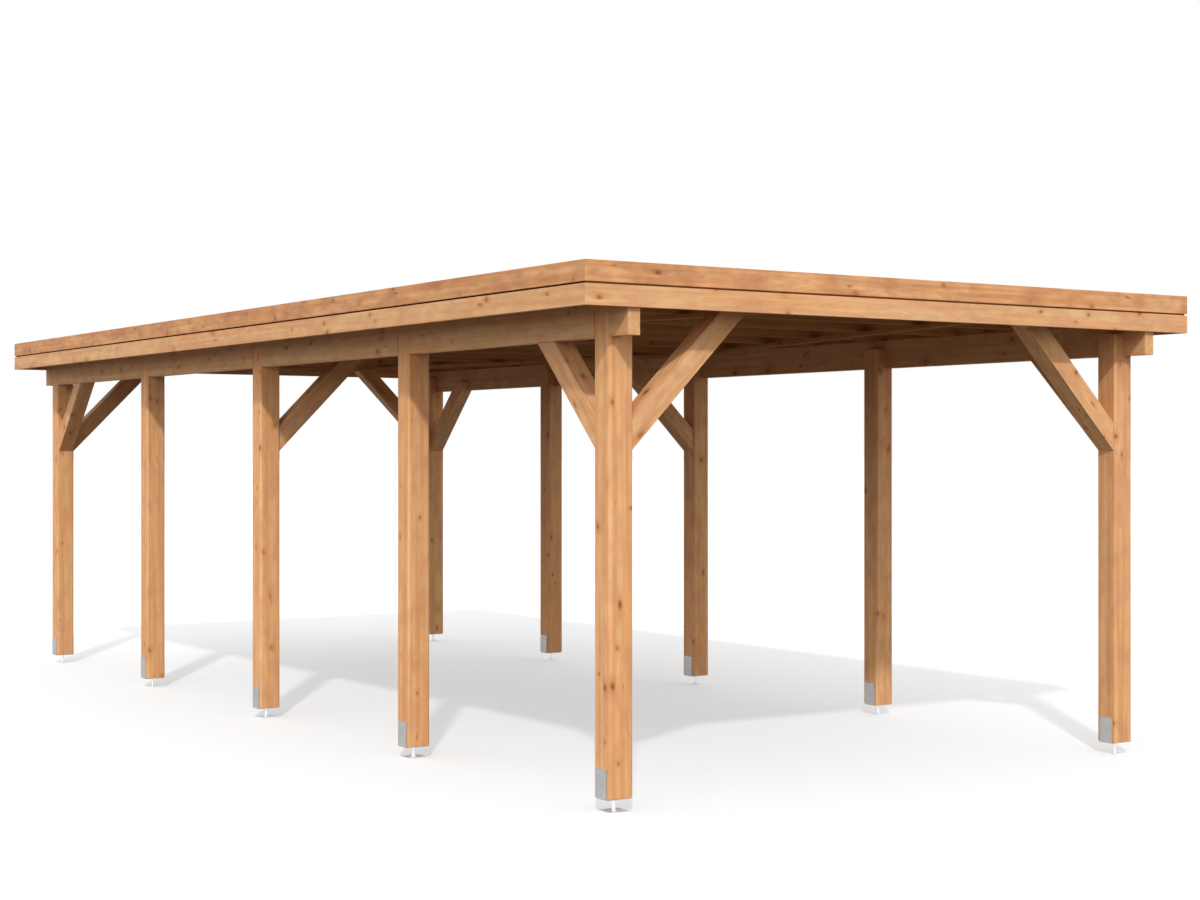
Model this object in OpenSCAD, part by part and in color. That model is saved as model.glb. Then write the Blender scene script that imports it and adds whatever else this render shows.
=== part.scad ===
// Flat-roofed timber pergola: two rows of five chamfered posts on steel
// anchors, a long beam housed into the heads of each row, cross joists with
// a boarded and sheeted roof, a two-board fascia all round, 45 degree braces
// at the corners and at the middle pair of posts, and flat wind braces under
// the joists.
// Millimetres, +Z up. The rows run along Y, the roof spans along X, and the
// centre of the ground under the roof is the origin.

/* [Plan] */
// Post row to post row, outer face to outer face
row_width = 3150; // [2600:10:3600]
// Centre to centre of neighbouring posts in a row
bay_length = 1800; // [1500:10:2100]
// How far the roof edge stands out past the posts along the long sides
side_overhang = 225; // [150:5:300]
// How far the roof edge stands out past the posts at the two ends
end_overhang = 160; // [120:5:220]

/* [Posts] */
// Side of the square posts
post_size = 120; // [110:1:140]
// Width of the chamfer on the upright edges, measured along a face
post_chamfer = 8; // [3:1:10]
// Ground to the foot of the posts
foot_height = 60; // [45:1:100]
// Ground to the underside of the long beams
beam_height_above_ground = 2000; // [1900:10:2300]
// How far the cheeks of the post heads rise past the underside of the beam
head_rise = 110; // [70:1:140]
// Thickness of the outer cheek, let into the outer face of the beam
outer_cheek = 30; // [20:1:35]

/* [Beams and joists] */
// Thickness of the long beams
beam_width = 60; // [50:1:70]
// Depth of the long beams
beam_depth = 160; // [150:1:200]
// Thickness of the cross joists
joist_width = 60; // [40:1:80]
// Depth of the cross joists
joist_depth = 100; // [90:1:140]
// Thickness of the rim board across the joist ends
rim_thickness = 20; // [16:1:28]

/* [Braces] */
// Side of the square braces
brace_size = 100; // [70:1:105]
// Underside of the long beams down to the lower edge of a brace at its post
brace_drop = 477; // [400:1:560]
// How far the side braces lap up the inner face of the beam
brace_lap = 60; // [20:1:90]

/* [Wind braces] */
// Width of the flat wind braces under the joists
wind_brace_width = 90; // [60:1:110]
// Thickness of the wind braces
wind_brace_thickness = 20; // [12:1:30]
// How far a wind brace comes in from the long beam on its way to the end joist
wind_brace_run = 905; // [760:5:1100]
// Gap between two wind braces that meet on the middle joist
wind_brace_gap = 4; // [2:1:20]

/* [Roof edge] */
// Thickness of the fascia boards
fascia_thickness = 20; // [16:1:28]
// Height of one fascia board
fascia_board = 89; // [82:1:100]
// Open joint between the upper and the lower fascia board
fascia_joint = 8; // [4:1:14]
// Depth of that joint, from the face of the boards to the lap behind it
fascia_joint_depth = 10; // [8:1:13]
// How far the lower board laps up behind the upper one
fascia_lap = 10; // [6:1:20]
// How far the fascia hangs below the top of the long beams
fascia_drop = 46; // [30:1:60]

/* [Roof] */
// Thickness of the roof boards
deck_thickness = 19; // [16:1:24]
// Thickness of the roof sheet
sheet_thickness = 3; // [2:0.5:4]
// Height of the turned-up edge of the roof sheet, over the boards
sheet_upstand = 15; // [8:1:16]

/* [Post anchors] */
// Side of the square ground plate
ground_plate = 100; // [90:1:120]
// Thickness of the ground plate and of the bracket
plate_thickness = 5; // [4:0.5:6]
// Diameter of the round stem
stem_diameter = 16; // [12:1:24]
// Width of the bracket cheeks on the sides of the post
bracket_width = 80; // [60:1:90]
// Height of the bracket cheeks, over the foot of the post
bracket_height = 125; // [100:1:150]
// Diameter of the four fixing holes in the ground plate
fixing_hole = 11; // [9:0.5:12]
// Spacing of the fixing holes, hole centre to hole centre
fixing_spacing = 70; // [66:1:72]

/* [Hidden] */
$fn = 48;
bays = 4;
joists_per_bay = 3;
half_row = row_width / 2;
post_x = half_row - post_size / 2;
half_length = bays * bay_length / 2;
roof_half_x = half_row + side_overhang;
roof_half_y = half_length + post_size / 2 + end_overhang;
frame_half_x = roof_half_x - fascia_thickness;
frame_half_y = roof_half_y - fascia_thickness;
beam_inner = half_row - beam_width;
slot = beam_width - outer_cheek;
beam_top = beam_height_above_ground + beam_depth;
joist_top = beam_top + joist_depth;
deck_top = joist_top + deck_thickness;
fascia_bottom = beam_top - fascia_drop;
joist_spacing = bay_length / joists_per_bay;
brace_foot = beam_height_above_ground - brace_drop;
brace_rise = brace_size * sqrt(2);
brace_inset = (post_size - brace_size) / 2;
wood = [0.84, 0.62, 0.42];
wood_light = [0.88, 0.70, 0.48];
wood_dark = [0.72, 0.50, 0.32];
steel = [0.72, 0.74, 0.75];
sheet = [0.22, 0.23, 0.24];
eps = 1;

// Mirror to the left (-1) or right (+1) row; modelled for the right row
module row(side) {
    if (side > 0) children(); else mirror([1, 0, 0]) children();
}

// Mirror to the front (-1) or back (+1) end; modelled for the back end
module end(side) {
    if (side > 0) children(); else mirror([0, 1, 0]) children();
}

// Centre of post number i (1 at the front, 5 at the back) along the row
function post_y(i) = (i - 1) * bay_length - half_length;

// One post of the right row at its place along the row: chamfered square
// section with the head slotted over the web of the long beam
module post_solid(i) {
    c = post_chamfer;
    h = post_size / 2;
    translate([post_x, post_y(i), 0]) difference() {
        translate([0, 0, foot_height])
            linear_extrude(beam_height_above_ground + head_rise - foot_height)
                polygon([[-h + c, -h], [h - c, -h], [h, -h + c], [h, h - c],
                         [h - c, h], [-h + c, h], [-h, h - c], [-h, -h + c]]);
        translate([h - beam_width, -h - eps, beam_height_above_ground])
            cube([slot, post_size + 2 * eps, head_rise + eps]);
    }
}

// One post anchor of the right row: ground plate with four fixing holes,
// round stem and a U bracket holding the foot of the post
module anchor_solid(i) {
    b = post_size / 2 + plate_thickness;
    translate([post_x, post_y(i), 0]) {
        difference() {
            translate([-ground_plate / 2, -ground_plate / 2, 0])
                cube([ground_plate, ground_plate, plate_thickness]);
            for (sx = [-1, 1], sy = [-1, 1])
                translate([sx * fixing_spacing / 2, sy * fixing_spacing / 2, -eps])
                    cylinder(h = plate_thickness + 2 * eps, d = fixing_hole);
        }
        translate([0, 0, plate_thickness / 2])
            cylinder(h = foot_height - plate_thickness, d = stem_diameter);
        translate([-b, -bracket_width / 2, foot_height - plate_thickness])
            cube([2 * b, bracket_width, plate_thickness]);
        for (s = [-1, 1])
            translate([s > 0 ? post_size / 2 : -b, -bracket_width / 2,
                       foot_height - plate_thickness])
                cube([plate_thickness, bracket_width, bracket_height + plate_thickness]);
    }
}

// The long beam of the right row, housed on its outer face for the outer
// cheeks of the post heads
module beam_solid() {
    difference() {
        translate([beam_inner, -frame_half_y, beam_height_above_ground])
            cube([beam_width, 2 * frame_half_y, beam_depth]);
        for (i = [1:bays + 1])
            translate([half_row - outer_cheek, post_y(i) - post_size / 2,
                       beam_height_above_ground - eps])
                cube([outer_cheek + eps, post_size, head_rise + eps]);
    }
}

// Side view of a 45 degree brace: plumb cut on the post, level cut on top
module brace_profile(top) {
    run = top - brace_foot;
    polygon([[0, brace_foot], [run, top], [run - brace_rise, top],
             [0, brace_foot + brace_rise]]);
}

// Brace along the row, from the last post of the right row towards the
// middle; its inner half laps up the inner face of the beam
module side_brace_solid() {
    difference() {
        translate([half_row - brace_inset, half_length - post_size / 2, 0])
            rotate([90, 0, -90]) linear_extrude(brace_size)
                brace_profile(beam_height_above_ground + brace_lap);
        translate([beam_inner, 0, beam_height_above_ground])
            cube([beam_width, half_length, brace_lap + eps]);
    }
}

// Brace across the roof at distance y, from the right row towards the middle
module cross_brace_solid(y) {
    translate([half_row - post_size, y + brace_size / 2, 0])
        mirror([1, 0, 0]) rotate([90, 0, 0]) linear_extrude(brace_size)
            brace_profile(beam_top);
}

// One cross joist centred at distance y
module joist_solid(y) {
    translate([-frame_half_x + rim_thickness, y - joist_width / 2, beam_top])
        cube([2 * (frame_half_x - rim_thickness), joist_width, joist_depth]);
}

// Flat wind brace of the back right quarter, nailed up under the joists: from
// the middle joist at the inner face of the beam inwards to the end joist,
// cut square across the roof at both ends
module wind_brace_solid() {
    near = wind_brace_gap / 2;
    far = frame_half_y - joist_width / 2;
    across = wind_brace_width * sqrt(1 + pow(wind_brace_run / (far - near), 2));
    translate([0, 0, beam_top - wind_brace_thickness]) linear_extrude(wind_brace_thickness)
        polygon([[beam_inner, near], [beam_inner - wind_brace_run, far],
                 [beam_inner - wind_brace_run - across, far], [beam_inner - across, near]]);
}

// Rim board across the joist ends of the right side
module rim_solid() {
    translate([frame_half_x - rim_thickness, -frame_half_y, beam_top])
        cube([rim_thickness, 2 * frame_half_y, joist_depth]);
}

// Mitred layer of a fascia board: half is half the length of its side, out
// the distance of its face from the centre; the layer takes the depths from
// d0 to d1 behind the face and the heights from z0 to z1
module mitred_layer(half, out, d0, d1, z0, z1) {
    translate([0, 0, z0]) linear_extrude(z1 - z0)
        polygon([[-half + d0, out - d0], [half - d0, out - d0],
                 [half - d1, out - d1], [-half + d1, out - d1]]);
}

// Lower fascia board, with the lap that closes the open joint from behind
module fascia_lower(half, out) {
    top = fascia_bottom + fascia_board;
    mitred_layer(half, out, 0, fascia_thickness, fascia_bottom, top);
    mitred_layer(half, out, fascia_joint_depth, fascia_thickness, fascia_bottom,
                 top + fascia_joint + fascia_lap);
}

// Upper fascia board, rebated at the back over the lap of the lower one
module fascia_upper(half, out) {
    bottom = fascia_bottom + fascia_board + fascia_joint;
    top = bottom + fascia_board;
    mitred_layer(half, out, 0, fascia_joint_depth, bottom, top);
    mitred_layer(half, out, 0, fascia_thickness, bottom + fascia_lap, top);
}

// Roof boards as one plate over the joists
module deck_solid() {
    translate([-frame_half_x, -frame_half_y, joist_top])
        cube([2 * frame_half_x, 2 * frame_half_y, deck_thickness]);
}

// Roof sheet on the boards with its edge turned up inside the fascia
module sheet_solid() {
    t = sheet_thickness;
    difference() {
        translate([-frame_half_x, -frame_half_y, deck_top])
            cube([2 * frame_half_x, 2 * frame_half_y, sheet_upstand]);
        translate([-frame_half_x + t, -frame_half_y + t, deck_top + t])
            cube([2 * (frame_half_x - t), 2 * (frame_half_y - t), sheet_upstand]);
    }
}

module post_left_1() color(wood) row(-1) post_solid(1);
module post_left_2() color(wood) row(-1) post_solid(2);
module post_left_3() color(wood) row(-1) post_solid(3);
module post_left_4() color(wood) row(-1) post_solid(4);
module post_left_5() color(wood) row(-1) post_solid(5);
module post_right_1() color(wood) row(1) post_solid(1);
module post_right_2() color(wood) row(1) post_solid(2);
module post_right_3() color(wood) row(1) post_solid(3);
module post_right_4() color(wood) row(1) post_solid(4);
module post_right_5() color(wood) row(1) post_solid(5);

module post_anchor_left_1() color(steel) row(-1) anchor_solid(1);
module post_anchor_left_2() color(steel) row(-1) anchor_solid(2);
module post_anchor_left_3() color(steel) row(-1) anchor_solid(3);
module post_anchor_left_4() color(steel) row(-1) anchor_solid(4);
module post_anchor_left_5() color(steel) row(-1) anchor_solid(5);
module post_anchor_right_1() color(steel) row(1) anchor_solid(1);
module post_anchor_right_2() color(steel) row(1) anchor_solid(2);
module post_anchor_right_3() color(steel) row(1) anchor_solid(3);
module post_anchor_right_4() color(steel) row(1) anchor_solid(4);
module post_anchor_right_5() color(steel) row(1) anchor_solid(5);

module beam_left() color(wood) row(-1) beam_solid();
module beam_right() color(wood) row(1) beam_solid();

module side_brace_front_left() color(wood) row(-1) end(-1) side_brace_solid();
module side_brace_front_right() color(wood) row(1) end(-1) side_brace_solid();
module side_brace_back_left() color(wood) row(-1) end(1) side_brace_solid();
module side_brace_back_right() color(wood) row(1) end(1) side_brace_solid();

module cross_brace_front_left() color(wood) row(-1) cross_brace_solid(-half_length);
module cross_brace_front_right() color(wood) row(1) cross_brace_solid(-half_length);
module cross_brace_middle_left() color(wood) row(-1) cross_brace_solid(0);
module cross_brace_middle_right() color(wood) row(1) cross_brace_solid(0);
module cross_brace_back_left() color(wood) row(-1) cross_brace_solid(half_length);
module cross_brace_back_right() color(wood) row(1) cross_brace_solid(half_length);

// The joists from the first to the last pair of posts, and the two on the
// beam ends behind the end fascias
module joists() color(wood_dark) {
    for (k = [0:joists_per_bay * bays]) joist_solid(k * joist_spacing - half_length);
    for (s = [-1, 1]) joist_solid(s * (frame_half_y - joist_width / 2));
}

module wind_braces() color(wood_dark)
    for (across = [-1, 1], along = [-1, 1]) row(across) end(along) wind_brace_solid();

module rim_boards() color(wood_dark) for (s = [-1, 1]) row(s) rim_solid();

module fascia_lower_front() color(wood_light) end(-1) fascia_lower(roof_half_x, roof_half_y);
module fascia_lower_back() color(wood_light) end(1) fascia_lower(roof_half_x, roof_half_y);
module fascia_lower_left() color(wood_light)
    rotate([0, 0, 90]) fascia_lower(roof_half_y, roof_half_x);
module fascia_lower_right() color(wood_light)
    rotate([0, 0, -90]) fascia_lower(roof_half_y, roof_half_x);
module fascia_upper_front() color(wood_light) end(-1) fascia_upper(roof_half_x, roof_half_y);
module fascia_upper_back() color(wood_light) end(1) fascia_upper(roof_half_x, roof_half_y);
module fascia_upper_left() color(wood_light)
    rotate([0, 0, 90]) fascia_upper(roof_half_y, roof_half_x);
module fascia_upper_right() color(wood_light)
    rotate([0, 0, -90]) fascia_upper(roof_half_y, roof_half_x);

module roof_boards() color(wood_dark) deck_solid();
module roof_sheet() color(sheet) sheet_solid();

post_left_1();
post_left_2();
post_left_3();
post_left_4();
post_left_5();
post_right_1();
post_right_2();
post_right_3();
post_right_4();
post_right_5();
post_anchor_left_1();
post_anchor_left_2();
post_anchor_left_3();
post_anchor_left_4();
post_anchor_left_5();
post_anchor_right_1();
post_anchor_right_2();
post_anchor_right_3();
post_anchor_right_4();
post_anchor_right_5();
beam_left();
beam_right();
side_brace_front_left();
side_brace_front_right();
side_brace_back_left();
side_brace_back_right();
cross_brace_front_left();
cross_brace_front_right();
cross_brace_middle_left();
cross_brace_middle_right();
cross_brace_back_left();
cross_brace_back_right();
joists();
wind_braces();
rim_boards();
fascia_lower_front();
fascia_lower_back();
fascia_lower_left();
fascia_lower_right();
fascia_upper_front();
fascia_upper_back();
fascia_upper_left();
fascia_upper_right();
roof_boards();
roof_sheet();
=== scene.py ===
import math

import bmesh
import bpy
import numpy as np
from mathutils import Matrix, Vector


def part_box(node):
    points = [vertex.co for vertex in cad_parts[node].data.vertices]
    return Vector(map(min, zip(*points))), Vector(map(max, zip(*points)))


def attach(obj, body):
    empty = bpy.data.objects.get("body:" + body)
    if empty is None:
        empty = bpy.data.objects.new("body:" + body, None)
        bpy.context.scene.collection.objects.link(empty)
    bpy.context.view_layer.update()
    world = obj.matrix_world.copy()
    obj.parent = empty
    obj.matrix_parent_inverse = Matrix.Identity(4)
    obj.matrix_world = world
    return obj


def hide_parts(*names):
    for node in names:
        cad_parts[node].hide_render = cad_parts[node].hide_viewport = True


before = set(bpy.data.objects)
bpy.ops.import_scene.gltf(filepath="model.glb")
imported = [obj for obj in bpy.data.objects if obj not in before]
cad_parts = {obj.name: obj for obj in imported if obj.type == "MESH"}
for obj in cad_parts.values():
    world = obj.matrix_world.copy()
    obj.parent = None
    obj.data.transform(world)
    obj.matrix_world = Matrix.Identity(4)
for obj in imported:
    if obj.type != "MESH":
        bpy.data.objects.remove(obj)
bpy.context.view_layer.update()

# ---------------------------------------------------------------- post anchors
# Ten welded feet of 5 mm steel, hot-dip galvanised after welding: a ground plate,
# a round stem and a folded U bracket that grips the foot of the post. Two
# screws with low heads go through each cheek of the bracket into the post.
SIDES = ("left", "right")
post_numbers = range(1, 6)
plate_gauge = 0.005
plate_edge = 0.045
stem_radius = 0.008
fold_radius = 0.006
fold_length = 0.05
corner_radius = 0.004
burr_radius = 0.0004
weld_leg = 0.0045
weld_root = 0.001
weld_ripple = 0.02
screw_heights = (0.098, 0.150)
screw_reach = 0.018
near = 1e-4


def linear(colour):
    """Linear RGBA of an sRGB colour written as six hex digits."""
    part = np.array([int(colour[i:i + 2], 16) for i in (1, 3, 5)]) / 255
    light = np.where(part <= 0.04045, part / 12.92, ((part + 0.055) / 1.055) ** 2.4)
    return (*light.tolist(), 1.0)


def add(tree, kind, inputs, **settings):
    """
    Adds one shader node. An input takes a plain value, a socket, or a node for its first output,
    and is given by its number or by its name among the inputs that show.
    """
    made = tree.nodes.new("ShaderNode" + kind)
    for name, value in settings.items():
        setattr(made, name, value)
    for key, value in inputs.items():
        shown = [socket for socket in made.inputs if socket.enabled and socket.name == key]
        socket = made.inputs[key] if isinstance(key, int) else shown[0]
        if isinstance(value, bpy.types.Node):
            value = [output for output in value.outputs if output.enabled][0]
        if isinstance(value, bpy.types.NodeSocket):
            tree.links.new(value, socket)
        else:
            socket.default_value = value
    return made


def cad_form(node):
    """A CAD node's loose triangles joined into one closed form with whole flat faces."""
    form = bmesh.new()
    form.from_mesh(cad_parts[node].data)
    bmesh.ops.remove_doubles(form, verts=form.verts, dist=1e-5)
    bmesh.ops.dissolve_limit(form, angle_limit=math.radians(1), verts=form.verts, edges=form.edges)
    return form


def rounded(form, edges, radius, steps):
    """Rounds these edges of a form with arcs of that radius."""
    bmesh.ops.bevel(form, geom=edges, offset=radius, offset_type="OFFSET", segments=steps,
                    profile=0.5, affect="EDGES", clamp_overlap=False)


def sharp_edges(form, degrees):
    """The convex edges of a form that turn by more than this angle."""
    return [edge for edge in form.edges if edge.is_manifold
            and edge.calc_face_angle_signed() > math.radians(degrees)]


def turned(profile, around, axes, place):
    """
    Grid of a turned piece: each profile point (radius, height, lobe) goes once round the
    axis as radius * (1 + lobe * cos(6 * angle)), and axes and place set it in the part.
    """
    angle = np.linspace(0, 2 * math.pi, around, endpoint=False)
    radius, height, lobe = np.array(profile).T[..., None]
    radius = radius * (1 + lobe * np.cos(6 * angle))
    local = np.stack([radius * np.cos(angle), radius * np.sin(angle), height + 0 * angle], -1)
    return local @ np.array(axes) + place


def weld_bead(up):
    """
    Profile of the fillet weld round the stem, up or down from a plate: a quarter circle of the
    weld's leg with soft ripples, closed through its root inside the stem and the plate.
    """
    turn = np.linspace(0, math.pi / 2, 5)
    root = (stem_radius - weld_root, -weld_root * up, 0)
    curve = np.stack([stem_radius + weld_leg * np.cos(turn), up * weld_leg * np.sin(turn),
                      np.full(len(turn), weld_ripple)], -1)
    return np.vstack([root, curve, (stem_radius - weld_root, up * weld_leg, 0), root])


def quads(rows, columns, around):
    """Corner numbers of the quads on a grid, which may close on itself across its columns."""
    index = np.arange(rows * columns).reshape(rows, columns)
    if around:
        index = np.hstack([index, index[:, :1]])
    corners = [index[:-1, :-1], index[:-1, 1:], index[1:, 1:], index[1:, :-1]]
    return np.stack(corners, -1).reshape(-1, 4)


def grid_mesh(name, grids):
    """One mesh of grids that each close round their columns."""
    starts = np.cumsum([0] + [grid.shape[0] * grid.shape[1] for grid in grids])
    points = np.concatenate([grid.reshape(-1, 3) for grid in grids])
    faces = np.concatenate([quads(*grid.shape[:2], True) + start for grid, start in zip(grids, starts)])
    mesh = bpy.data.meshes.new(name)
    mesh.from_pydata(points.tolist(), [], faces.tolist())
    return mesh


def closed(mesh):
    """Merges the doubled points of a mesh and turns its faces outwards."""
    form = bmesh.new()
    form.from_mesh(mesh)
    bmesh.ops.remove_doubles(form, verts=form.verts, dist=1e-6)
    bmesh.ops.recalc_face_normals(form, faces=form.faces)
    form.to_mesh(mesh)
    form.free()
    return mesh


def piece(name, mesh, material, slot, *nodes):
    """Shows a finished mesh as a piece of the part, in the place of these CAD nodes."""
    made = bpy.data.objects.new(name, mesh)
    bpy.context.scene.collection.objects.link(made)
    mesh.materials.append(material)
    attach(made, "root")
    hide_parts(*nodes)
    return made


# Zinc coat, a metal: dulled to a soft grey on the bracket, paler on the ground plate and
# the stem and brightened there with painted light to nearly white, with the faint flat
# crystals (spangle) of a dipped coat about 9 mm across, a matt bloom in patches about
# 60 mm across and a grain of 2 mm.
galvanised = bpy.data.materials.new("galvanised_steel")
galvanised.use_nodes = True
tree = galvanised.node_tree
shader = tree.nodes["Principled BSDF"]
shader.inputs["Metallic"].default_value = 1.0
place = add(tree, "TexCoord", {}).outputs["Object"]
crystal = add(tree, "TexVoronoi", {"Vector": place, "Scale": 1 / 0.009}).outputs["Color"]
crystal = add(tree, "SeparateColor", {"Color": crystal}).outputs["Red"]
bloom = add(tree, "TexNoise", {"Vector": place, "Scale": 1 / 0.06, "Detail": 4.0}).outputs["Fac"]
grain = add(tree, "TexNoise", {"Vector": place, "Scale": 1 / 0.002, "Detail": 2.0}).outputs["Fac"]
bright = add(tree, "Math", {0: crystal, 1: 0.35, 2: bloom}, operation="MULTIPLY_ADD")
share = add(tree, "MapRange", {"Value": bright, "From Min": 0.3, "From Max": 1.0})
zinc = add(tree, "Mix", {"Factor": share, "A": linear("#AAABAC"), "B": linear("#BFBFBE")},
           data_type="RGBA")
# Painted light: below 50 mm, on the ground plate and the stem, the zinc is mixed to nearly white as if in
# full sun.
height = add(tree, "SeparateXYZ", {"Vector": place}).outputs["Z"]
painted_light_share = add(tree, "MapRange", {"Value": height, "From Min": 0.05, "From Max": 0.056,
                               "To Min": 1.0, "To Max": 0.0})
zinc = add(tree, "Mix", {"Factor": painted_light_share, "A": zinc, "B": linear("#F6F7F9")}, data_type="RGBA")
dull = add(tree, "MapRange", {"Value": bloom, "From Min": 0.3, "From Max": 0.7,
                              "To Min": 0.42, "To Max": 0.6})
relief = add(tree, "Math", {0: crystal, 1: 0.5, 2: grain}, operation="MULTIPLY_ADD")
relief = add(tree, "Bump", {"Height": relief, "Strength": 0.25, "Distance": 0.0002})
tree.links.new(zinc.outputs[2], shader.inputs["Base Color"])
tree.links.new(dull.outputs[0], shader.inputs["Roughness"])
tree.links.new(relief.outputs[0], shader.inputs["Normal"])

# Profile of a low screw head that stands 1 mm over the cheek: from its underside, which is
# let 0.5 mm into the cheek, round the rim to the floor of its six-lobed drive.
screw_profile = [(0.0000, -0.0005, 0), (0.0050, -0.0005, 0), (0.0050, 0.0004, 0), (0.0047, 0.0008, 0),
                 (0.0036, 0.0010, 0), (0.0024, 0.0010, 0.12), (0.0022, 0.0008, 0.16),
                 (0.0020, 0.0002, 0.16), (0.0000, 0.0001, 0)]

for side in SIDES:
    for number in post_numbers:
        node = f"post_anchor_{side}_{number}"
        low, high = (np.array(corner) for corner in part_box(node))
        centre = (low + high) / 2
        half_width = (high - low)[0] / 2
        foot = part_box(f"post_{side}_{number}")[0].z
        form = cad_form(node)
        # Folds are the two long edges under the bracket, corners those at the top of its cheeks
        # and those of the ground plate.
        folds, corners = [], []
        for edge in form.edges:
            ends = np.array([vertex.co for vertex in edge.verts])
            run = np.abs(ends[0] - ends[1])
            middle = ends.mean(0)
            aside = np.abs(middle - centre)
            under_bracket = abs(middle[2] - foot + plate_gauge) < near
            if under_bracket and abs(aside[0] - half_width) < near and run[1] > fold_length:
                folds.append(edge)
            if middle[2] > high[2] - near and run[0] > 0.8 * plate_gauge and run[1] < near:
                corners.append(edge)
            if middle[2] < plate_gauge and run[2] > 0.8 * plate_gauge and min(aside[:2]) > plate_edge:
                corners.append(edge)
        rounded(form, folds, fold_radius, 5)
        rounded(form, [edge for edge in corners if edge.is_valid], corner_radius, 4)
        rounded(form, sharp_edges(form, 60), burr_radius, 1)
        grids = []
        for height, up in ((plate_gauge, 1), (foot - plate_gauge, -1)):
            grids.append(turned(weld_bead(up), 36, np.eye(3), (centre[0], centre[1], height)))
        for out in (-1, 1):
            axes = [(0, 1, 0), (0, 0, out), (out, 0, 0)]
            for height, reach in zip(screw_heights, (-screw_reach, screw_reach)):
                head = (centre[0] + out * half_width, centre[1] + reach, height)
                grids.append(turned(screw_profile, 30, axes, head))
        mesh = closed(grid_mesh(f"anchor_{side}_{number}", grids))
        form.from_mesh(mesh)
        form.to_mesh(mesh)
        form.free()
        mesh.shade_smooth()
        mesh.set_sharp_from_angle(angle=math.radians(32))
        piece(f"anchor_{side}_{number}", mesh, galvanised, "galvanised_steel", node)

# ----------------------------------------------------------------------- posts
# Square posts planed from spruce, with chamfered corners. Each head is forked:
# its slot takes the web of the long beam, and the outer cheek lies in the beam's
# housing. All arrises are eased by hand. The front right post is coloured a tenth darker.
post_arris = 0.002
post_shades = {("right", 1): 0.9}
chance = np.random.default_rng(11)


def mark_grain(mesh, along, points, tone):
    """
    Gives a timber its grain: points holds each vertex's distance from the pith of its log in two
    directions and its place along the log, tone its shade, and a face that cuts across the fibres
    gets the share |normal . along| of that cut.
    """
    mesh.attributes.new("grain", "FLOAT_VECTOR", "POINT").data.foreach_set("vector", points.ravel())
    mesh.attributes.new("tone", "FLOAT", "POINT").data.foreach_set("value", tone)
    normals = np.zeros(len(mesh.polygons) * 3)
    mesh.polygons.foreach_get("normal", normals)
    across = np.abs(normals.reshape(-1, 3) @ along)
    mesh.attributes.new("end_cut", "FLOAT", "FACE").data.foreach_set("value", across)


def log_place(points, along):
    """
    Places a timber in its log: the points turned so that z runs along the fibres and x across the
    thin side. A board is flat sawn, with the pith 25 to 60 mm off its face, a square timber has the
    pith within 25 mm of its middle, and both start anywhere along 90 m of log.
    """
    along = np.array(along, float)
    beside = np.cross(along, (0, 0, 1)) if abs(along[2]) < 0.9 else np.array((1.0, 0, 0))
    beside /= np.linalg.norm(beside)
    turn = np.stack([beside, np.cross(along, beside), along], 1)
    local = (points - (points.min(0) + points.max(0)) / 2) @ turn
    across = np.ptp(local[:, :2], axis=0)
    if across[0] > across[1]:
        local[:, :2] = local[:, 1::-1] * (1, -1)
        across = across[::-1]
    pith = np.array((chance.uniform(-0.025, 0.025), chance.uniform(-0.025, 0.025)))
    if across[0] < 0.7 * across[1]:
        side = chance.choice((-1, 1))
        pith = np.array((side * (across[0] / 2 + chance.uniform(0.025, 0.06)),
                         chance.uniform(-0.2, 0.2) * across[1]))
    return local + (*pith, chance.uniform(0, 90))


def mesh_points(mesh):
    """The vertices of a mesh as rows of x, y and z."""
    points = np.zeros(len(mesh.vertices) * 3)
    mesh.vertices.foreach_get("co", points)
    return points.reshape(-1, 3)


def jointed_timber(name, node, along, arris, material, slot, edges=sharp_edges, spread=0.05, shade=1.0):
    """A CAD timber with its joinery as it is, its arrises eased and its grain laid along it."""
    form = cad_form(node)
    rounded(form, edges(form, 25), arris, 3)
    mesh = bpy.data.meshes.new(name)
    form.to_mesh(mesh)
    form.free()
    along = np.array(along, float) / np.linalg.norm(along)
    tone = np.full(len(mesh.vertices), shade + chance.uniform(-spread, spread))
    mark_grain(mesh, along, log_place(mesh_points(mesh), along), tone)
    return piece(name, mesh, material, slot, node)


def grain_noise(tree, place, across, along, detail, **settings):
    """Noise drawn out along the fibres: so many cells a metre across them and along them."""
    place = add(tree, "VectorMath", {0: place, 1: (across, across, along)}, operation="MULTIPLY")
    return add(tree, "TexNoise", {"Vector": place, "Scale": 1.0, "Detail": detail, **settings})


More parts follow.
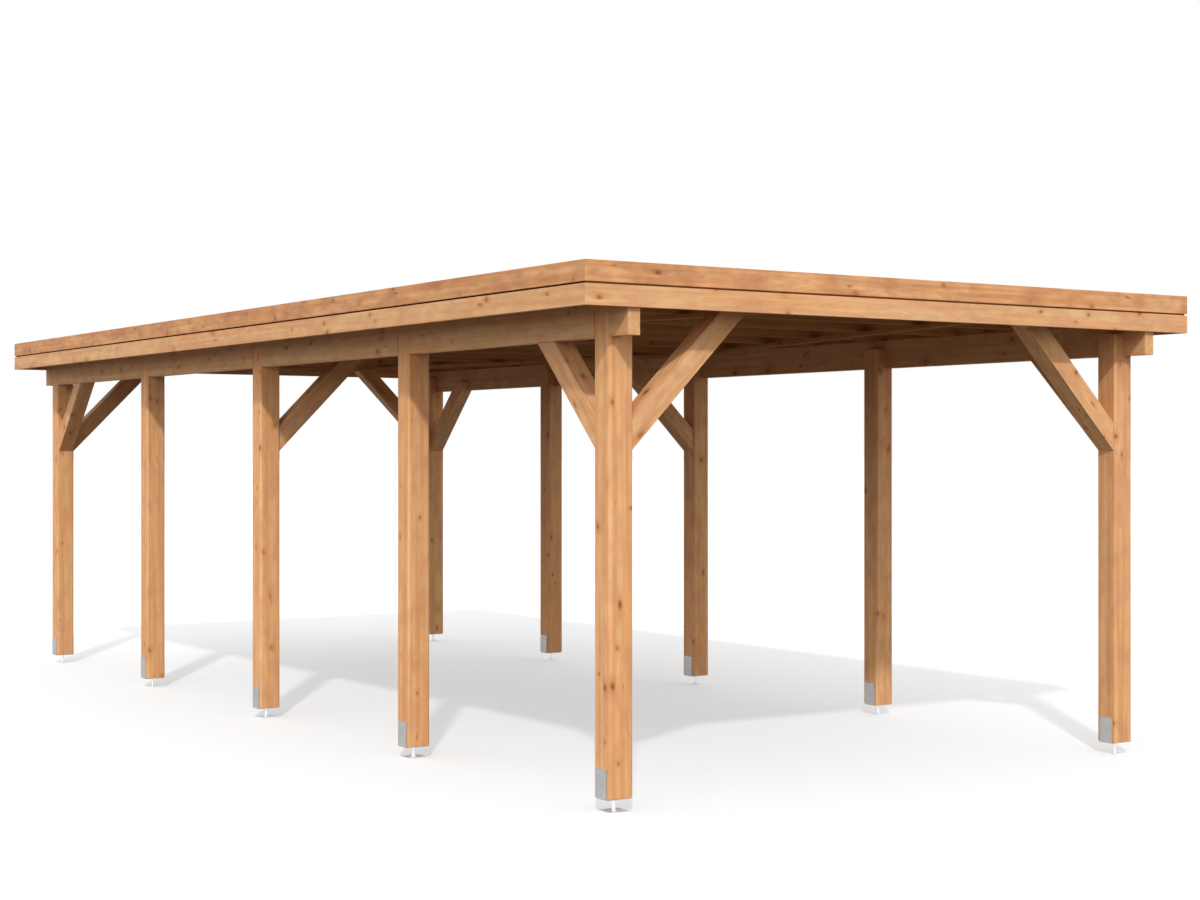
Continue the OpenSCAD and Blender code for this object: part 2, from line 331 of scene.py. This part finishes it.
def planed_softwood(name, pale, amber, rosy, late, halo="#C4844F", figured=0.06, flame=5.0,
                    gloss=0.2, checked=0.0):
    """
    Planed, oiled softwood as a solid pattern. Growth rings lie round the pith, fibres and colour
    bands run along it, and knots are cones along branches that leave the pith, with the rings
    flowing round them. Pale, amber and rosy are the colours of the wood between the rings, late
    that of the rings and halo that round a knot. Figured is how much the short figure lightens and
    darkens the wood, flame how many of its flames go in a metre, gloss the shine of the oil and
    checked how dark the drying checks are.
    """
    material = bpy.data.materials.new(name)
    material.use_nodes = True
    tree = material.node_tree
    shader = tree.nodes["Principled BSDF"]
    grain = add(tree, "Attribute", {}, attribute_name="grain").outputs["Vector"]
    tone = add(tree, "Attribute", {}, attribute_name="tone").outputs["Fac"]
    end_cut = add(tree, "Attribute", {}, attribute_name="end_cut").outputs["Fac"]

    # The pith wanders by about 20 mm over a few metres, which draws the long arches on the faces.
    slow = grain_noise(tree, grain, 2.0, 0.9, 2.0).outputs["Color"]
    slow = add(tree, "VectorMath", {0: slow, 1: (0.5, 0.5, 0.5)}, operation="SUBTRACT")
    wood = add(tree, "VectorMath", {0: slow, 1: (0.12, 0.12, 0), 2: grain}, operation="MULTIPLY_ADD")

    # Branches: a cell pattern is read on the direction from the pith and the height up the log, with
    # a cell every 350 mm or so, and one branch in four leaves a knot. A branch climbs 0.3 m for each
    # metre outwards. Its knot is 2 to 12 mm in radius, and half as long again along the fibres.
    height_squeeze = 1.8
    branch_climb = 0.3
    across = add(tree, "VectorMath", {0: wood, 1: (1, 1, 0)}, operation="MULTIPLY")
    outward = add(tree, "VectorMath", {0: across}, operation="NORMALIZE")
    whorl = add(tree, "VectorMath", {0: grain, 1: (0, 0, height_squeeze), 2: outward},
                operation="MULTIPLY_ADD")
    branch = add(tree, "TexVoronoi", {"Vector": whorl, "Scale": 1.6, "Randomness": 1.0})
    lot = add(tree, "SeparateColor", {"Color": branch.outputs["Color"]})
    spot = branch.outputs["Position"]
    heading = add(tree, "VectorMath", {0: spot, 1: (1, 1, 0)}, operation="MULTIPLY")
    heading = add(tree, "VectorMath", {0: heading}, operation="NORMALIZE")
    reach = add(tree, "VectorMath", {0: across, 1: heading}, operation="DOT_PRODUCT").outputs["Value"]
    core = add(tree, "VectorMath", {0: heading, "Scale": reach}, operation="SCALE")
    aside = add(tree, "VectorMath", {0: across, 1: core}, operation="SUBTRACT")
    height = add(tree, "SeparateXYZ", {"Vector": grain}).outputs["Z"]
    root = add(tree, "SeparateXYZ", {"Vector": spot}).outputs["Z"]
    lift = add(tree, "Math", {0: root, 1: -1 / height_squeeze, 2: height}, operation="MULTIPLY_ADD")
    lift = add(tree, "Math", {0: reach, 1: -branch_climb, 2: lift}, operation="MULTIPLY_ADD")
    lift = add(tree, "Math", {0: lift, 1: 0.65}, operation="MULTIPLY")
    lift = add(tree, "CombineXYZ", {"Z": lift})
    gap = add(tree, "VectorMath", {0: aside, 1: lift}, operation="ADD")
    gap = add(tree, "VectorMath", {0: gap}, operation="LENGTH").outputs["Value"]
    stout = add(tree, "Math", {0: lot.outputs["Red"], 1: 3.0}, operation="POWER")
    stout = add(tree, "MapRange", {"Value": stout, "To Min": 0.0028, "To Max": 0.0095})
    girth = add(tree, "MapRange", {"Value": reach, "From Max": 0.1, "To Min": 0.6, "To Max": 1.3})
    girth = add(tree, "Math", {0: stout, 1: girth}, operation="MULTIPLY")
    ratio = add(tree, "Math", {0: gap, 1: girth}, operation="DIVIDE")
    there = add(tree, "Math", {0: lot.outputs["Green"], 1: 0.74}, operation="GREATER_THAN")
    ahead = add(tree, "Math", {0: reach, 1: 0.0}, operation="GREATER_THAN")
    there = add(tree, "Math", {0: there, 1: ahead}, operation="MULTIPLY")
    knot, bark, flow = [
        add(tree, "MapRange", {"Value": ratio, "From Min": inner, "From Max": outer, "To Min": there,
                               "To Max": 0.0}, interpolation_type=fading)
        for inner, outer, fading in ((0.3, 1.4, "SMOOTHSTEP"), (0.9, 2.2, "SMOOTHSTEP"),
                                     (0.9, 6.5, "SMOOTHERSTEP"))]

    # Growth rings: the width changes slowly, and each ring ends in a soft rise to its dark late wood.
    # They are drawn 6 mm wide, coarser than the real 3 mm, so that they show.
    ring_width = 0.006
    knot_push = 0.011
    years = add(tree, "VectorMath", {0: across}, operation="LENGTH").outputs["Value"]
    years = add(tree, "Math", {0: flow, 1: knot_push, 2: years}, operation="MULTIPLY_ADD")
    years = add(tree, "Math", {0: years, 1: 1 / ring_width}, operation="MULTIPLY")
    uneven = grain_noise(tree, wood, 28.0, 1.2, 3.0)
    years = add(tree, "Math", {0: uneven, 1: 3.0, 2: years}, operation="MULTIPLY_ADD")
    ring = add(tree, "Math", {0: years}, operation="FRACT")
    rise, fall = [
        add(tree, "MapRange", {"Value": ring, "From Min": start, "From Max": stop},
            interpolation_type="SMOOTHSTEP")
        for start, stop in ((0.25, 0.9), (0.88, 1.0))]
    summer = add(tree, "Math", {0: rise, 1: fall}, operation="SUBTRACT")

    # Colour bands 25 mm wide and up to a metre long, a shorter figure 35 mm wide and a flame long,
    # blotches 80 mm across and 120 mm long, and fibres 2.5 mm wide, all straight along the timber.
    band = grain_noise(tree, grain, 38.0, 0.9, 2.0, Roughness=0.45)
    figure = grain_noise(tree, wood, 28.0, flame, 3.0)
    blotch = grain_noise(tree, grain, 13.0, 8.0, 3.0)
    fibre = grain_noise(tree, grain, 400.0, 9.0, 2.0)

    # Drying checks: hair-thin lines where a drawn-out noise crosses its mean, only here and there.
    split = grain_noise(tree, wood, 24.0, 0.12, 0.0)
    split = add(tree, "Math", {0: split, 1: 0.5, 2: 0.003}, operation="COMPARE")
    where = grain_noise(tree, wood, 9.0, 1.6, 1.0)
    where = add(tree, "MapRange", {"Value": where, "From Min": 0.65, "From Max": 0.72})
    split = add(tree, "Math", {0: split, 1: where}, operation="MULTIPLY")

    # Colours, laid one over the other: each with the share of it that shows at a point.
    amber_share = add(tree, "MapRange", {"Value": band, "From Min": 0.38, "From Max": 0.62})
    rosy_share = add(tree, "MapRange", {"Value": blotch, "From Min": 0.45, "From Max": 0.68,
                                        "To Max": 0.8})
    late_share = add(tree, "MapRange", {"Value": fibre, "To Min": 0.04, "To Max": 0.24})
    late_share = add(tree, "Math", {0: late_share, 1: summer}, operation="MULTIPLY")
    halo_share = add(tree, "Math", {0: flow, 1: 0.5}, operation="MULTIPLY")
    bark_share = add(tree, "Math", {0: bark, 1: 0.5}, operation="MULTIPLY")
    dark = add(tree, "Math", {0: lot.outputs["Blue"], 1: 2.0}, operation="POWER")
    dark = add(tree, "MapRange", {"Value": dark, "To Min": 0.12, "To Max": 0.75})
    knot_share = add(tree, "Math", {0: knot, 1: dark}, operation="MULTIPLY")
    split_share = add(tree, "Math", {0: split, 1: checked}, operation="MULTIPLY")
    colour = linear(pale)
    for share, tint in ((amber_share, amber), (rosy_share, rosy), (late_share, late), (halo_share, halo),
                        (bark_share, "#96582F"), (knot_share, "#6A3C20"), (split_share, "#5B3A22")):
        colour = add(tree, "Mix", {"Factor": share, "A": colour, "B": linear(tint)}, data_type="RGBA")

    # Shade: the fibres, the timber's own tone, its end cuts, its figure and its bands.
    shade = add(tree, "MapRange", {"Value": fibre, "From Min": 0.3, "From Max": 0.7,
                                   "To Min": 0.965, "To Max": 1.035})
    cut = add(tree, "MapRange", {"Value": end_cut, "From Min": 0.4, "From Max": 1.0,
                                 "To Min": 1.0, "To Max": 1.04})
    figure = add(tree, "MapRange", {"Value": figure, "From Min": 0.34, "From Max": 0.66,
                                    "To Min": 1 - figured, "To Max": 1 + 0.8 * figured})
    band = add(tree, "MapRange", {"Value": band, "From Min": 0.36, "From Max": 0.64,
                                  "To Min": 1.02, "To Max": 0.975})
    for factor in (tone, cut, figure, band):
        shade = add(tree, "Math", {0: shade, 1: factor}, operation="MULTIPLY")
    colour = add(tree, "VectorMath", {0: colour, "Scale": shade}, operation="SCALE")

    relief = add(tree, "Math", {0: summer, 1: 0.4, 2: fibre}, operation="MULTIPLY_ADD")
    relief = add(tree, "Math", {0: split, 1: -3.0 * checked, 2: relief}, operation="MULTIPLY_ADD")
    relief = add(tree, "Bump", {"Height": relief, "Strength": 0.4, "Distance": 0.0004})
    dull = add(tree, "MapRange", {"Value": fibre, "To Min": 0.6, "To Max": 0.78})
    shader.inputs["IOR"].default_value = 1.5
    shader.inputs["Specular IOR Level"].default_value = gloss
    tree.links.new(colour.outputs[0], shader.inputs["Base Color"])
    tree.links.new(dull.outputs[0], shader.inputs["Roughness"])
    tree.links.new(relief.outputs[0], shader.inputs["Normal"])
    return material


post_timber = planed_softwood("spruce_posts", "#E2AF7E", "#DD9F67", "#D4976C", "#BC7F4E", checked=0.45)
for side in SIDES:
    for number in post_numbers:
        jointed_timber(f"squared_post_{side}_{number}", f"post_{side}_{number}", (0, 0, 1), post_arris,
                       post_timber, "post_timber", spread=0.03, shade=post_shades.get((side, number), 1.0))

# ------------------------------------------------------------------ long beams
# One planed spruce beam over each row of posts, housed on its outer face for the
# outer cheeks of the post heads.
beam_arris = 0.002
beam_timber = planed_softwood("spruce_beams", "#DBAE7E", "#D8A16C", "#CE986C", "#B37B4A")
for side in SIDES:
    jointed_timber(f"long_beam_{side}", f"beam_{side}", (0, 1, 0), beam_arris, beam_timber, "beam_timber")

# ---------------------------------------------------------------------- braces
# Square braces at 45 degrees, cut plumb against the posts and level on top. The
# side braces are lapped up the inner face of the beam, the cross braces end under
# the joists over the posts.
ENDS = ("front", "back")
brace_arris = 0.002
brace_timber = planed_softwood("spruce_braces", "#DDAE80", "#D79E6A", "#CD986F", "#B67D4E",
                               figured=0.09, flame=12.0)
for side, inward in zip(SIDES, (1, -1)):
    for end, towards in zip(ENDS, (1, -1)):
        jointed_timber(f"side_strut_{end}_{side}", f"side_brace_{end}_{side}", (0, towards, 1),
                       brace_arris, brace_timber, "brace_timber")
    for end in ("front", "middle", "back"):
        jointed_timber(f"cross_strut_{end}_{side}", f"cross_brace_{end}_{side}", (inward, 0, 1),
                       brace_arris, brace_timber, "brace_timber")

# ------------------------------------------------------- joists and rim boards
# Planed joists on edge across the beams, and a rim board nailed over their ends
# along each side.
joist_arris = 0.002
joist_timber = planed_softwood("spruce_joists", "#C89C6E", "#C3905B", "#B9875D", "#9D6A3F", gloss=0.0)


def board(low, high, axis, radii):
    """
    Grid of a planed board between two corners: a rectangle whose four corners are arcs of the given
    radii, carried along an axis. The radii swell and shrink by a fifth along the board, as arrises
    eased by hand do, and at each end the rectangle draws in by the largest radius.
    """
    low, high = np.array(low, float), np.array(high, float)
    order = [(axis + 1) % 3, (axis + 2) % 3, axis]
    half, middle = ((high - low) / 2)[order], ((high + low) / 2)[order]
    ease = max(radii)
    run = np.linspace(-half[2] + ease, half[2] - ease, max(3, int(half[2] / 0.15)))
    run = np.concatenate([[-half[2], -half[2]], run, [half[2], half[2]]])
    inset = np.concatenate([[half.min(), ease], np.zeros(len(run) - 4), [ease, half.min()]])
    inset = inset[:, None, None]
    swell = 1 + 0.2 * np.sin(run * 5.3 + low.sum() * 40)[:, None, None]
    quarter = np.linspace(0, math.pi / 2, 4)
    angle = np.arange(4)[:, None] * math.pi / 2 + quarter
    corner_x = np.array((1, -1, -1, 1))[:, None]
    corner_y = np.array((1, 1, -1, -1))[:, None]
    wide = np.maximum(half[0] - inset, 0)
    tall = np.maximum(half[1] - inset, 0)
    radius = np.minimum(np.array(radii)[None, :, None] * swell, np.minimum(wide, tall))
    x = corner_x * (wide - radius) + radius * np.cos(angle)
    y = corner_y * (tall - radius) + radius * np.sin(angle)
    z = run[:, None, None] + 0 * x
    local = np.stack([x, y, z], -1).reshape(len(run), angle.size, 3) + middle
    return local[..., np.argsort(order)]


def planed_boards(name, boxes, axis, radii, material, slot, spread, *nodes):
    """Boards between pairs of corners as one piece, each with its own place in a log and its own shade."""
    grids = [board(low, high, axis, radii) for low, high in boxes]
    along = np.eye(3)[axis]
    marks = np.concatenate([log_place(grid.reshape(-1, 3), along) for grid in grids])
    shades = 1 + chance.uniform(-spread, spread, len(grids))
    tones = np.repeat(shades, [grid.shape[0] * grid.shape[1] for grid in grids])
    mesh = grid_mesh(name, grids)
    mark_grain(mesh, along, marks, tones)
    return piece(name, closed(mesh), material, slot, *nodes)


def solids_along(node, axis):
    """The boxes of a CAD node's separate solids, which follow each other along an axis."""
    points = mesh_points(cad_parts[node].data)
    low, high = points.min(0), points.max(0)
    runs = np.unique(np.round(points[:, axis], 4)).reshape(-1, 2)
    here = np.arange(3) == axis
    return [(np.where(here, start, low), np.where(here, stop, high)) for start, stop in runs]


planed_boards("joists_planed", solids_along("joists", 1), 0, [joist_arris] * 4, joist_timber,
              "joist_timber", 0.08, "joists")
planed_boards("rim_boards_planed", solids_along("rim_boards", 0), 1, [joist_arris] * 4, joist_timber,
              "joist_timber", 0.06, "rim_boards")

# ----------------------------------------------------------------- wind braces
# Four flat planks nailed up under the joists, from the beams at the middle of the
# roof inwards to the end joists. They keep the roof square in the wind.
form = cad_form("wind_braces")
rounded(form, sharp_edges(form, 25), joist_arris, 2)
mesh = bpy.data.meshes.new("wind_braces_planed")
form.to_mesh(mesh)
form.free()
points = mesh_points(mesh)
tones = np.ones(len(points))
marks = np.zeros_like(points)
for side in (-1, 1):
    for end in (-1, 1):
        own = (points[:, 0] * side > 0) & (points[:, 1] * end > 0)
        middle = points[own].mean(0)
        slope = np.polyfit(points[own, 1] - middle[1], points[own, 0] - middle[0], 1)[0]
        marks[own] = log_place(points[own], np.array((slope, 1, 0)) / math.hypot(slope, 1))
        tones[own] = 1 + chance.uniform(-0.05, 0.05)
mark_grain(mesh, np.array((0.0, 1.0, 0.0)), marks, tones)
piece("wind_braces_planed", mesh, joist_timber, "joist_timber", "wind_braces")

# ----------------------------------------------------------------- roof boards
# Spruce roof boards laid along the roof, nailed to every joist. Their lower
# edges are bevelled, so that a V joint shows between them from below, and their
# two butt joints fall on joists, staggered from row to row.
board_rows = 26
board_gap = 0.0008
board_bevel = 0.004
board_arris = 0.0005
board_timber = planed_softwood("spruce_roof_boards", "#CCA173", "#C69460", "#BC8B62", "#9F6D43",
                               gloss=0.0)
low, high = (np.array(corner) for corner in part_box("roof_boards"))
joist_rows = np.sort([(start[1] + stop[1]) / 2 for start, stop in solids_along("joists", 1)])[1:-1]
row_width = (high - low)[0] / board_rows
boxes = []
for row in range(board_rows):
    # One butt joint falls on the third to seventh joist, the other on the ninth to thirteenth.
    first = (3 + 4 * row) % 5
    stops = [low[1], joist_rows[1 + first], joist_rows[7 + (first * 2) % 5], high[1]]
    left = low[0] + row * row_width
    for start, stop in zip(stops[:-1], stops[1:]):
        start = start + board_gap / 2 * (start > low[1])
        stop = stop - board_gap / 2 * (stop < high[1])
        boxes.append(((left + board_gap / 2, start, low[2]),
                      (left + row_width - board_gap / 2, stop, high[2])))
planed_boards("roof_boards_laid", boxes, 1, [board_bevel, board_arris, board_arris, board_bevel],
              board_timber, "roof_board_timber", 0.12, "roof_boards")

# ------------------------------------------------------------------ roof sheet
# Black synthetic rubber (EPDM) roof sheet, glued down in five widths that lap by
# 80 mm, and turned up over a cove all round inside the fascia.
sheet_widths = 5
sheet_lap = 0.08
lap_step = 0.0015
sheet_gauge = 0.0014
low, high = (np.array(corner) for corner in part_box("roof_sheet"))
cove = (high - low)[2] - sheet_gauge
near_edge = cove * (1 - np.cos(np.linspace(0, math.pi / 2, 7)))
laps = np.linspace(low[1], high[1], sheet_widths + 1)[1:-1]
lap_edges = np.concatenate([[y - lap_step, y, y + sheet_lap, y + sheet_lap + lap_step] for y in laps])
x = np.concatenate([low[0] + near_edge, np.linspace(low[0] + cove, high[0] - cove, 61)[1:-1],
                    high[0] - near_edge[::-1]])
y = np.concatenate([low[1] + near_edge, np.linspace(low[1] + cove, high[1] - cove, 121)[1:-1],
                    high[1] - near_edge[::-1], lap_edges])
y = np.unique(np.round(y, 6))


def sheet_top(x, y):
    """
    Height of the sheet: one gauge on the boards, one more over each lap, long low waves of half a
    millimetre, and a quarter circle up to the top within a cove's width of the edges.
    """
    edge = np.minimum(np.minimum(x - low[0], high[0] - x), np.minimum(y - low[1], high[1] - y))
    depth = np.clip(1 - edge / cove, 0, 1)
    turn = cove * (1 - np.sqrt(1 - depth ** 2))
    over = 0
    for lap in laps:
        climb = np.clip((y - lap + lap_step) / lap_step, 0, 1)
        over = over + climb * np.clip((lap + sheet_lap + lap_step - y) / lap_step, 0, 1)
    wave = np.sin(7.1 * x + 2.3 * y) + np.sin(5.2 * y - 3.4 * x + 1.7) + np.sin(11.3 * x - 8.2 * y)
    wave = 0.00025 * (wave + 3) * (1 - depth) / 2
    return low[2] + sheet_gauge + wave + sheet_gauge * over * (1 - depth) + turn * 0.98


grid_x, grid_y = np.meshgrid(x, y, indexing="ij")
grid_z = np.minimum(sheet_top(grid_x, grid_y), high[2])
mesh = bpy.data.meshes.new("rubber_sheet")
mesh.from_pydata(np.stack([grid_x, grid_y, grid_z], -1).reshape(-1, 3).tolist(), [],
                 quads(len(x), len(y), False).tolist())

# EPDM rubber, calendered smooth: near black and matt, with a drier, paler bloom of dust in
# patches half a metre across where water has stood, in specks of 4 mm.
rubber = bpy.data.materials.new("epdm_rubber")
rubber.use_nodes = True
tree = rubber.node_tree
shader = tree.nodes["Principled BSDF"]
shader.inputs["IOR"].default_value = 1.5
place = add(tree, "TexCoord", {}).outputs["Object"]
dust = add(tree, "TexNoise", {"Vector": place, "Scale": 1.3, "Detail": 6.0, "Roughness": 0.6})
speck = add(tree, "TexNoise", {"Vector": place, "Scale": 1 / 0.004, "Detail": 2.0})
dry = add(tree, "MapRange", {"Value": dust, "From Min": 0.38, "From Max": 0.78})
share = add(tree, "Math", {0: dry, 1: speck}, operation="MULTIPLY")
colour = add(tree, "Mix", {"Factor": share, "A": linear("#33363A"), "B": linear("#5B5B58")},
             data_type="RGBA")
dull = add(tree, "MapRange", {"Value": dry, "To Min": 0.5, "To Max": 0.8})
relief = add(tree, "Bump", {"Height": speck, "Strength": 0.3, "Distance": 0.0003})
tree.links.new(colour.outputs[2], shader.inputs["Base Color"])
tree.links.new(dull.outputs[0], shader.inputs["Roughness"])
tree.links.new(relief.outputs[0], shader.inputs["Normal"])
sheet = piece("rubber_sheet", mesh, rubber, "roof_sheet", "roof_sheet")
thick = sheet.modifiers.new("gauge", "SOLIDIFY")
thick.thickness = sheet_gauge
thick.offset = -1.0

# ---------------------------------------------------------------------- fascia
# Two planed larch boards one above the other round the roof, mitred at the
# corners. The lower one laps up behind the upper one, and the open joint between
# them shows as a dark line, deepened with painted shade. The boards along the
# sides are of slightly darker logs.
fascia_arris = 0.0015
side_shade = 0.92
fascia_lower = planed_softwood("larch_fascia_lower", "#DCAF80", "#DA9F6C", "#CF9870", "#BC8658",
                               halo="#C58452", figured=0.08, flame=8.0)
fascia_upper = planed_softwood("larch_fascia_upper", "#D7A474", "#CE9160", "#BC7F58", "#AE7348",
                               halo="#AC6A46", figured=0.11, flame=9.0)


def long_edges(form, degrees):
    """The sharp edges of a form that run its full length, so that its mitres stay crisp."""
    edges = sharp_edges(form, degrees)
    longest = max(edge.calc_length() for edge in edges)
    return [edge for edge in edges if edge.calc_length() > 0.9 * longest]


# The rebate behind the open joint is darkened with painted shade, so that the joint reads
# as a deep shadow line: one matt layer at the ends and a second, darker one along the sides.
tree = fascia_lower.node_tree
shader = tree.nodes["Principled BSDF"]
painted_joint_shade = add(tree, "Attribute", {}, attribute_name="painted_joint_shade").outputs["Fac"]
bare = shader.inputs["Base Color"].links[0].from_socket
colour = add(tree, "Mix", {"Factor": painted_joint_shade, "A": bare, "B": linear("#8C5A32")}, data_type="RGBA")
deeper_joint_shade = add(tree, "Math", {0: painted_joint_shade, 1: 1.0}, operation="SUBTRACT")
colour = add(tree, "Mix", {"Factor": deeper_joint_shade, "A": colour, "B": linear("#3A1B0B")}, data_type="RGBA")
planed = shader.inputs["Roughness"].links[0].from_socket
dull = add(tree, "Math", {0: planed, 1: painted_joint_shade}, operation="ADD", use_clamp=True)
tree.links.new(colour.outputs[2], shader.inputs["Base Color"])
tree.links.new(dull.outputs[0], shader.inputs["Roughness"])

for side, out in zip(("front", "back", "left", "right"), ((0, -1, 0), (0, 1, 0), (-1, 0, 0), (1, 0, 0))):
    along = np.abs(out)[[1, 0, 2]]
    shade = 1.0 if side in ENDS else side_shade
    jointed_timber(f"fascia_upper_board_{side}", f"fascia_upper_{side}", along, fascia_arris,
                   fascia_upper, "fascia_timber", long_edges, 0.03, shade)
    lower = jointed_timber(f"fascia_lower_board_{side}", f"fascia_lower_{side}", along, fascia_arris,
                           fascia_lower, "fascia_timber", long_edges, 0.03, shade).data
    normals, centres = np.zeros((2, len(lower.polygons) * 3))
    lower.polygons.foreach_get("normal", normals)
    lower.polygons.foreach_get("center", centres)
    depth = centres.reshape(-1, 3) @ out
    # Painted shade: the rebate faces behind the open joint are marked for darkening, one layer at the ends
    # and two along the sides.
    recessed = (normals.reshape(-1, 3) @ out > 0.9) & (depth < depth.max() - 0.005)
    joint_shade_layers = recessed * (1.0 if side in ENDS else 2.0)
    lower.attributes.new("painted_joint_shade", "FLOAT", "FACE").data.foreach_set("value", joint_shade_layers)

# --------------------------------------------------------------- studio, camera
# Pale floor and white surround, lit by a soft sun and a broad low haze from behind
# the camera and by an even sky. To the camera and in gloss the floor is pale, but
# it sends little light up, as dark ground does.
eye = (-6.1944, -10.6654, 1.5153)
eye_turn = math.radians(-33.129)
eye_tilt = math.radians(90.066)
eye_lens = 60.25
sky_strength = 1.02
floor_reach = 300.0
floor_glow = 0.42
floor_pale = (0.5, 0.5, 0.5, 1.0)
floor_deep = (0.128, 0.114, 0.1, 1.0)
white = (1.0, 1.0, 1.0, 1.0)

camera = bpy.data.objects.new("camera", bpy.data.cameras.new("camera"))
bpy.context.scene.collection.objects.link(camera)
camera.location = eye
camera.rotation_euler = (eye_tilt, 0, eye_turn)
camera.data.sensor_width = 36
camera.data.lens = eye_lens
camera.data.clip_end = 1000
bpy.context.scene.camera = camera


def sun_lamp(name, turn, height, strength, breadth, colour):
    """A far lamp: its turn from +Y, height over the floor and breadth in the sky are in degrees."""
    lamp = bpy.data.objects.new(name, bpy.data.lights.new(name, "SUN"))
    bpy.context.scene.collection.objects.link(lamp)
    lamp.rotation_euler = (math.radians(90 - height), 0, -math.radians(turn))
    lamp.data.energy = strength
    lamp.data.angle = math.radians(breadth)
    lamp.data.color = colour


sun_lamp("sun", turn=34, height=38.2, strength=1.8, breadth=2.5, colour=(1.0, 0.985, 0.96))
sun_lamp("haze", turn=52, height=24, strength=0.65, breadth=50, colour=(1.0, 1.0, 1.0))


def seen_ray(tree):
    """One for a ray from the camera, or one seen in gloss or through glass, and else nought."""
    rays = add(tree, "LightPath", {}).outputs
    seen = add(tree, "Math", {0: rays["Is Camera Ray"], 1: rays["Is Glossy Ray"]}, operation="MAXIMUM")
    return add(tree, "Math", {0: seen, 1: rays["Is Transmission Ray"]}, operation="MAXIMUM")


world = bpy.data.worlds.new("surround")
bpy.context.scene.world = world
world.use_nodes = True
tree = world.node_tree
sky = add(tree, "Background", {"Color": white, "Strength": sky_strength})
backdrop = add(tree, "Background", {"Color": white, "Strength": 1.0})
mixed = add(tree, "MixShader", {0: seen_ray(tree), 1: sky, 2: backdrop})
tree.links.new(mixed.outputs[0], tree.nodes["World Output"].inputs["Surface"])

floor_mesh = bpy.data.meshes.new("floor")
floor_corners = [(-floor_reach, -floor_reach, 0), (floor_reach, -floor_reach, 0),
                 (floor_reach, floor_reach, 0), (-floor_reach, floor_reach, 0)]
floor_mesh.from_pydata(floor_corners, [], [(0, 1, 2, 3)])
floor = bpy.data.objects.new("floor", floor_mesh)
bpy.context.scene.collection.objects.link(floor)
plaster = bpy.data.materials.new("pale_floor")
plaster.use_nodes = True
tree = plaster.node_tree
tree.nodes.remove(tree.nodes["Principled BSDF"])
glow = add(tree, "Emission", {"Color": white, "Strength": floor_glow})
matt = add(tree, "BsdfDiffuse", {"Color": floor_pale})
pale = add(tree, "AddShader", {0: glow, 1: matt})
deep = add(tree, "BsdfDiffuse", {"Color": floor_deep})
mixed = add(tree, "MixShader", {0: seen_ray(tree), 1: deep, 2: pale})
tree.links.new(mixed.outputs[0], tree.nodes["Material Output"].inputs["Surface"])
floor_mesh.materials.append(plaster)

bpy.context.scene.view_settings.view_transform = "Standard"
